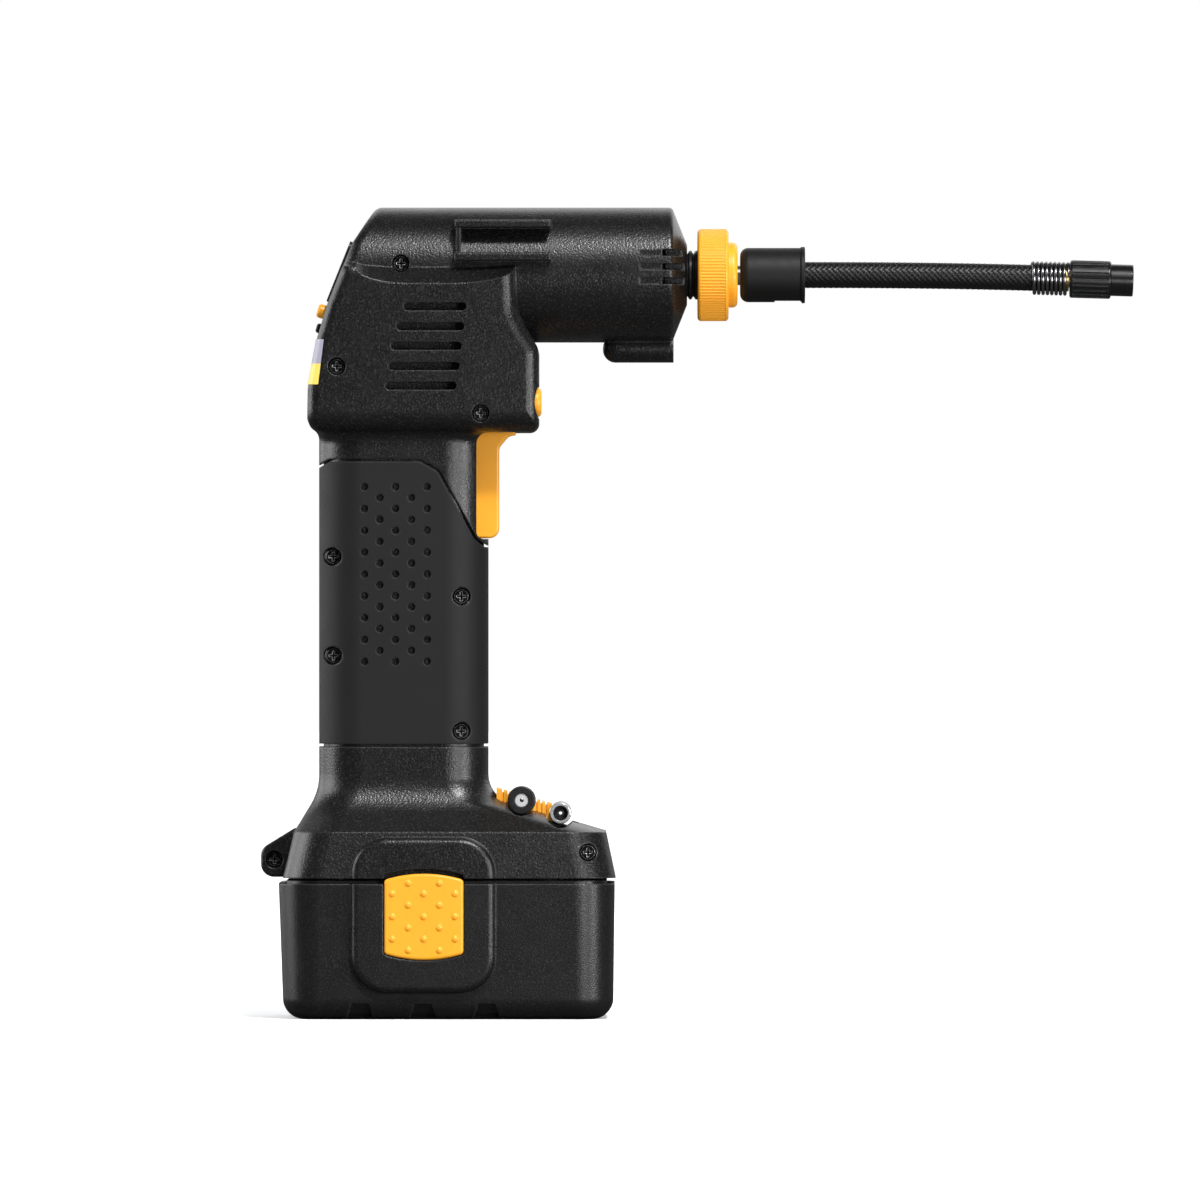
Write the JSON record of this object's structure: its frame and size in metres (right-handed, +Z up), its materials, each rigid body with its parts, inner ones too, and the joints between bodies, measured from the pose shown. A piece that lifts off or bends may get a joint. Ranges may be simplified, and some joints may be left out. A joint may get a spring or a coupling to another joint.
{
  "type": "cordless tire inflator",
  "caption": "Pistol-shaped cordless air pump standing on its battery pack, with a barrel, trigger, short hose, twist-on valve chuck and clipped adapters.",
  "frame": {"origin": "centre of the battery's bottom face", "axes": "+X the way the barrel and hose point, +Z up from the battery to the barrel, +Y to the tool's left"},
  "size_m": [0.2907, 0.0832, 0.2698],
  "materials": {
    "black_plastic": "fine moulded grain",
    "satin_black_plastic": "satin",
    "grip_skin": "soft matt",
    "yellow_plastic": "satin",
    "black_rubber": "matt",
    "braid": "woven cover over rubber",
    "black_steel": "black zinc plating",
    "chrome_plate": "bright",
    "steel": "plain",
    "cast_alloy": "as cast",
    "brass": "turned",
    "magnet": "plain",
    "copper_steel": "laminated stack with windings",
    "smoked_lens": "clear, dark",
    "clear_lens": "clear",
    "display": "liquid crystal cell",
    "board": "printed circuit laminate",
    "sticker": "printed film, plain",
    "cell_can": "plated can",
    "spring_steel": "drawn wire",
    "white_plastic": "plain"
  },
  "bodies": {
    "housing": {"right_housing": "black_plastic", "left_housing": "black_plastic", "right_grip_panel": "grip_skin", "left_grip_panel": "grip_skin", "housing_screws": "black_steel", "gauge_bezel": "satin_black_plastic", "gauge_lens": "smoked_lens", "gauge_display": "display", "control_board": "board", "board_parts": "satin_black_plastic", "rear_label": "sticker", "motor_can": "steel", "motor_end_cap": "satin_black_plastic", "motor_magnets": "magnet", "gear_bracket": "cast_alloy", "pump_cylinder": "cast_alloy", "cylinder_head": "cast_alloy", "head_bolts": "steel", "outlet_stub": "satin_black_plastic", "trigger_switch": "satin_black_plastic", "switch_legs": "brass", "trigger_spring": "spring_steel", "lamp_lens": "clear_lens", "lamp_diode": "white_plastic", "adapter_clips": "yellow_plastic", "terminal_block": "satin_black_plastic", "terminal_blades": "brass"},
    "trigger": {"trigger": "yellow_plastic"},
    "light_button": {"light_button": "yellow_plastic"},
    "unit_button": {"unit_button": "yellow_plastic"},
    "power_button": {"power_button": "black_rubber"},
    "rotor": {"motor_rotor": "copper_steel", "motor_pinion": "brass"},
    "crank": {"crank_gear": "steel"},
    "piston": {"piston_rod": "cast_alloy"},
    "hose_set": {"hose_fitting": "chrome_plate", "hose_boot": "black_rubber", "air_hose": "braid", "hose_end_spring": "black_steel", "chuck_tail": "brass"},
    "collar": {"hose_collar": "yellow_plastic"},
    "chuck": {"chuck_sleeve": "black_steel", "chuck_tip": "black_steel", "chuck_seal": "black_rubber"},
    "needle_adapter": {"needle_base": "satin_black_plastic", "needle_stem": "steel"},
    "bicycle_adapter": {"valve_adapter": "chrome_plate", "valve_adapter_core": "satin_black_plastic"},
    "battery": {"battery_case": "satin_black_plastic", "battery_lid": "satin_black_plastic", "battery_contacts": "brass", "battery_cells": "cell_can", "latch_springs": "spring_steel"},
    "right_latch": {"right_latch": "yellow_plastic"},
    "left_latch": {"left_latch": "yellow_plastic"}
  },
  "joints": [
    {"name": "trigger_pull", "type": "slide", "parent": "housing", "child": "trigger", "axis": [-1, 0, 0], "range_m": [0, 0.005], "stiffness_N_per_m": 700, "springref_m": -0.003, "deforming": ["trigger_spring"]},
    {"name": "light_press", "type": "slide", "parent": "housing", "child": "light_button", "axis": [-1, 0, 0], "range_m": [0, 0.0015], "stiffness_N_per_m": 800, "springref_m": -0.001},
    {"name": "unit_press", "type": "slide", "parent": "housing", "child": "unit_button", "axis": [0.9563, 0, -0.2924], "range_m": [0, 0.0012], "stiffness_N_per_m": 800, "springref_m": -0.001},
    {"name": "power_press", "type": "slide", "parent": "housing", "child": "power_button", "axis": [0.9563, 0, -0.2924], "range_m": [0, 0.0012], "stiffness_N_per_m": 800, "springref_m": -0.001},
    {"name": "motor_spin", "type": "hinge", "parent": "housing", "child": "rotor", "pos_m": [-0.0175, 0, 0.2], "axis": [0, 0, 1], "continuous": true},
    {"name": "crank_spin", "type": "hinge", "parent": "housing", "child": "crank", "pos_m": [0.001, 0, 0.232], "axis": [0, 0, 1], "continuous": true},
    {"name": "piston_stroke", "type": "slide", "parent": "housing", "child": "piston", "axis": [-1, 0, 0], "range_m": [0, 0.012]},
    {"name": "hose_unscrew", "type": "slide", "parent": "housing", "child": "hose_set", "axis": [1, 0, 0], "range_m": [0, 0.008]},
    {"name": "collar_spin", "type": "hinge", "parent": "hose_set", "child": "collar", "pos_m": [0.088, 0, 0.2473], "axis": [1, 0, 0], "range_deg": [0, 1440]},
    {"name": "chuck_spin", "type": "hinge", "parent": "hose_set", "child": "chuck", "pos_m": [0.205, 0, 0.2461], "axis": [0.9996, 0, -0.0286], "continuous": true},
    {"name": "needle_pull", "type": "slide", "parent": "housing", "child": "needle_adapter", "axis": [0, -1, 0], "range_m": [0, 0.078]},
    {"name": "bicycle_adapter_pull", "type": "slide", "parent": "housing", "child": "bicycle_adapter", "axis": [0, -1, 0], "range_m": [0, 0.06]},
    {"name": "battery_drop", "type": "slide", "parent": "housing", "child": "battery", "axis": [0, 0, -1], "range_m": [0, 0.065]},
    {"name": "right_latch_press", "type": "slide", "parent": "battery", "child": "right_latch", "axis": [0, 1, 0], "range_m": [0, 0.0025], "stiffness_N_per_m": 900, "springref_m": -0.002, "deforming": ["latch_springs"]},
    {"name": "left_latch_press", "type": "slide", "parent": "battery", "child": "left_latch", "axis": [0, -1, 0], "range_m": [0, 0.0025], "stiffness_N_per_m": 900, "springref_m": -0.002, "deforming": ["latch_springs"]}
  ],
  "couplings": [
    {"joint": "crank_spin", "follows": "motor_spin", "ratio": -0.27778},
    {"joint": "collar_spin", "follows": "hose_unscrew", "rad_per_m": 3141.6}
  ]
}
